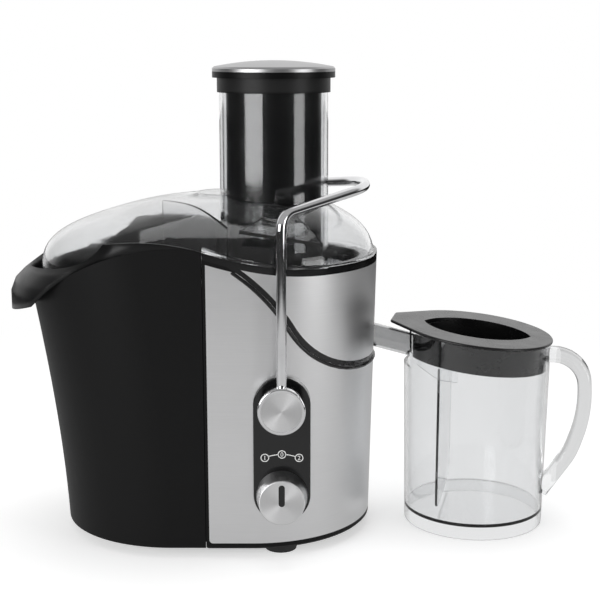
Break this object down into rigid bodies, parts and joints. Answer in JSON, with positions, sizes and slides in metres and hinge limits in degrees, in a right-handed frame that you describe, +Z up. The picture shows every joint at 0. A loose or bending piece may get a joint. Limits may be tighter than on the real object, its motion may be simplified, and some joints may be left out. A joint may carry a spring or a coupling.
{
  "type": "centrifugal juicer",
  "caption": "Upright centrifugal juicer with a wide feed chute and plunger, hooked lock arm, speed knob, side pulp bin and clear juice jug with a foam separator lid.",
  "frame": {"origin": "on the worktop, under the centre of the whole object's bounding box", "axes": "+X to the right from the pulp bin towards the jug, +Y to the back away from the speed knob, +Z up"},
  "size_m": [0.4996, 0.244, 0.4002],
  "materials": {
    "brushed_silver": "fine brushed",
    "silver_cap": "silver satin",
    "chrome": "polished",
    "black_matte": "fine grain",
    "black_gloss": "polished",
    "clear_plastic": "clear",
    "rubber": "matt",
    "steel": "turned",
    "laminated_steel": "laminated",
    "cast_aluminium": "die cast",
    "copper": "enamelled wire",
    "bronze": "sintered",
    "white_nylon": "moulded"
  },
  "bodies": {
    "base": {"base_plate": "black_matte", "feet": "rubber", "motor_housing": "black_matte", "housing_skin": "brushed_silver", "seam_gasket": "rubber", "control_pad": "black_gloss", "rear_pad": "black_gloss", "juice_bowl": "black_gloss", "bowl_shroud": "brushed_silver", "juice_spout": "clear_plastic", "lid": "clear_plastic", "motor_stator": "laminated_steel", "field_coils": "copper", "lower_bracket": "cast_aluminium", "upper_bracket": "cast_aluminium", "lower_bearing": "bronze", "upper_bearing": "bronze", "motor_pillars": "steel", "motor_mounts": "rubber", "brush_holders": "bronze", "rotary_switch": "black_matte", "interlock_switch": "black_matte", "cord_gland": "rubber"},
    "rotor": {"motor_shaft": "steel", "armature": "laminated_steel", "commutator": "copper", "cooling_fan": "white_nylon", "drive_coupling": "white_nylon", "basket_hub": "black_gloss", "grater_disc": "steel", "sieve": "steel", "basket_ring": "steel"},
    "plunger": {"plunger": "black_gloss", "plunger_cap": "silver_cap"},
    "arm": {"lock_arm": "chrome", "pivot_rings": "chrome", "pivot_caps": "brushed_silver", "pivot_pins": "steel"},
    "knob": {"knob": "brushed_silver", "knob_pointer": "black_matte", "knob_shaft": "steel"},
    "bin": {"pulp_bin": "black_matte", "bin_collar": "black_gloss"},
    "jug": {"jug": "clear_plastic"},
    "jug_lid": {"jug_lid": "black_gloss", "foam_separator": "clear_plastic"}
  },
  "joints": [
    {"name": "basket_spin", "type": "hinge", "parent": "base", "child": "rotor", "pos_m": [-0.04078, 0, 0.172], "axis": [0, 0, 1], "continuous": true},
    {"name": "plunger_slide", "type": "slide", "parent": "base", "child": "plunger", "axis": [0, 0, 1], "range_m": [0, 0.21]},
    {"name": "arm_swing", "type": "hinge", "parent": "base", "child": "arm", "pos_m": [-0.01728, 0, 0.131], "axis": [0, 1, 0], "range_deg": [0, 45]},
    {"name": "knob_turn", "type": "hinge", "parent": "base", "child": "knob", "pos_m": [-0.01728, -0.103, 0.056], "axis": [0, -1, 0], "range_deg": [-40, 40]},
    {"name": "bin_slide", "type": "slide", "parent": "base", "child": "bin", "axis": [-1, 0, 0], "range_m": [0, 0.16]},
    {"name": "jug_slide", "type": "slide", "parent": "base", "child": "jug", "axis": [1, 0, 0], "range_m": [0, 0.15]},
    {"name": "jug_lid_lift", "type": "slide", "parent": "jug", "child": "jug_lid", "axis": [0, 0, 1], "range_m": [0, 0.16]}
  ]
}
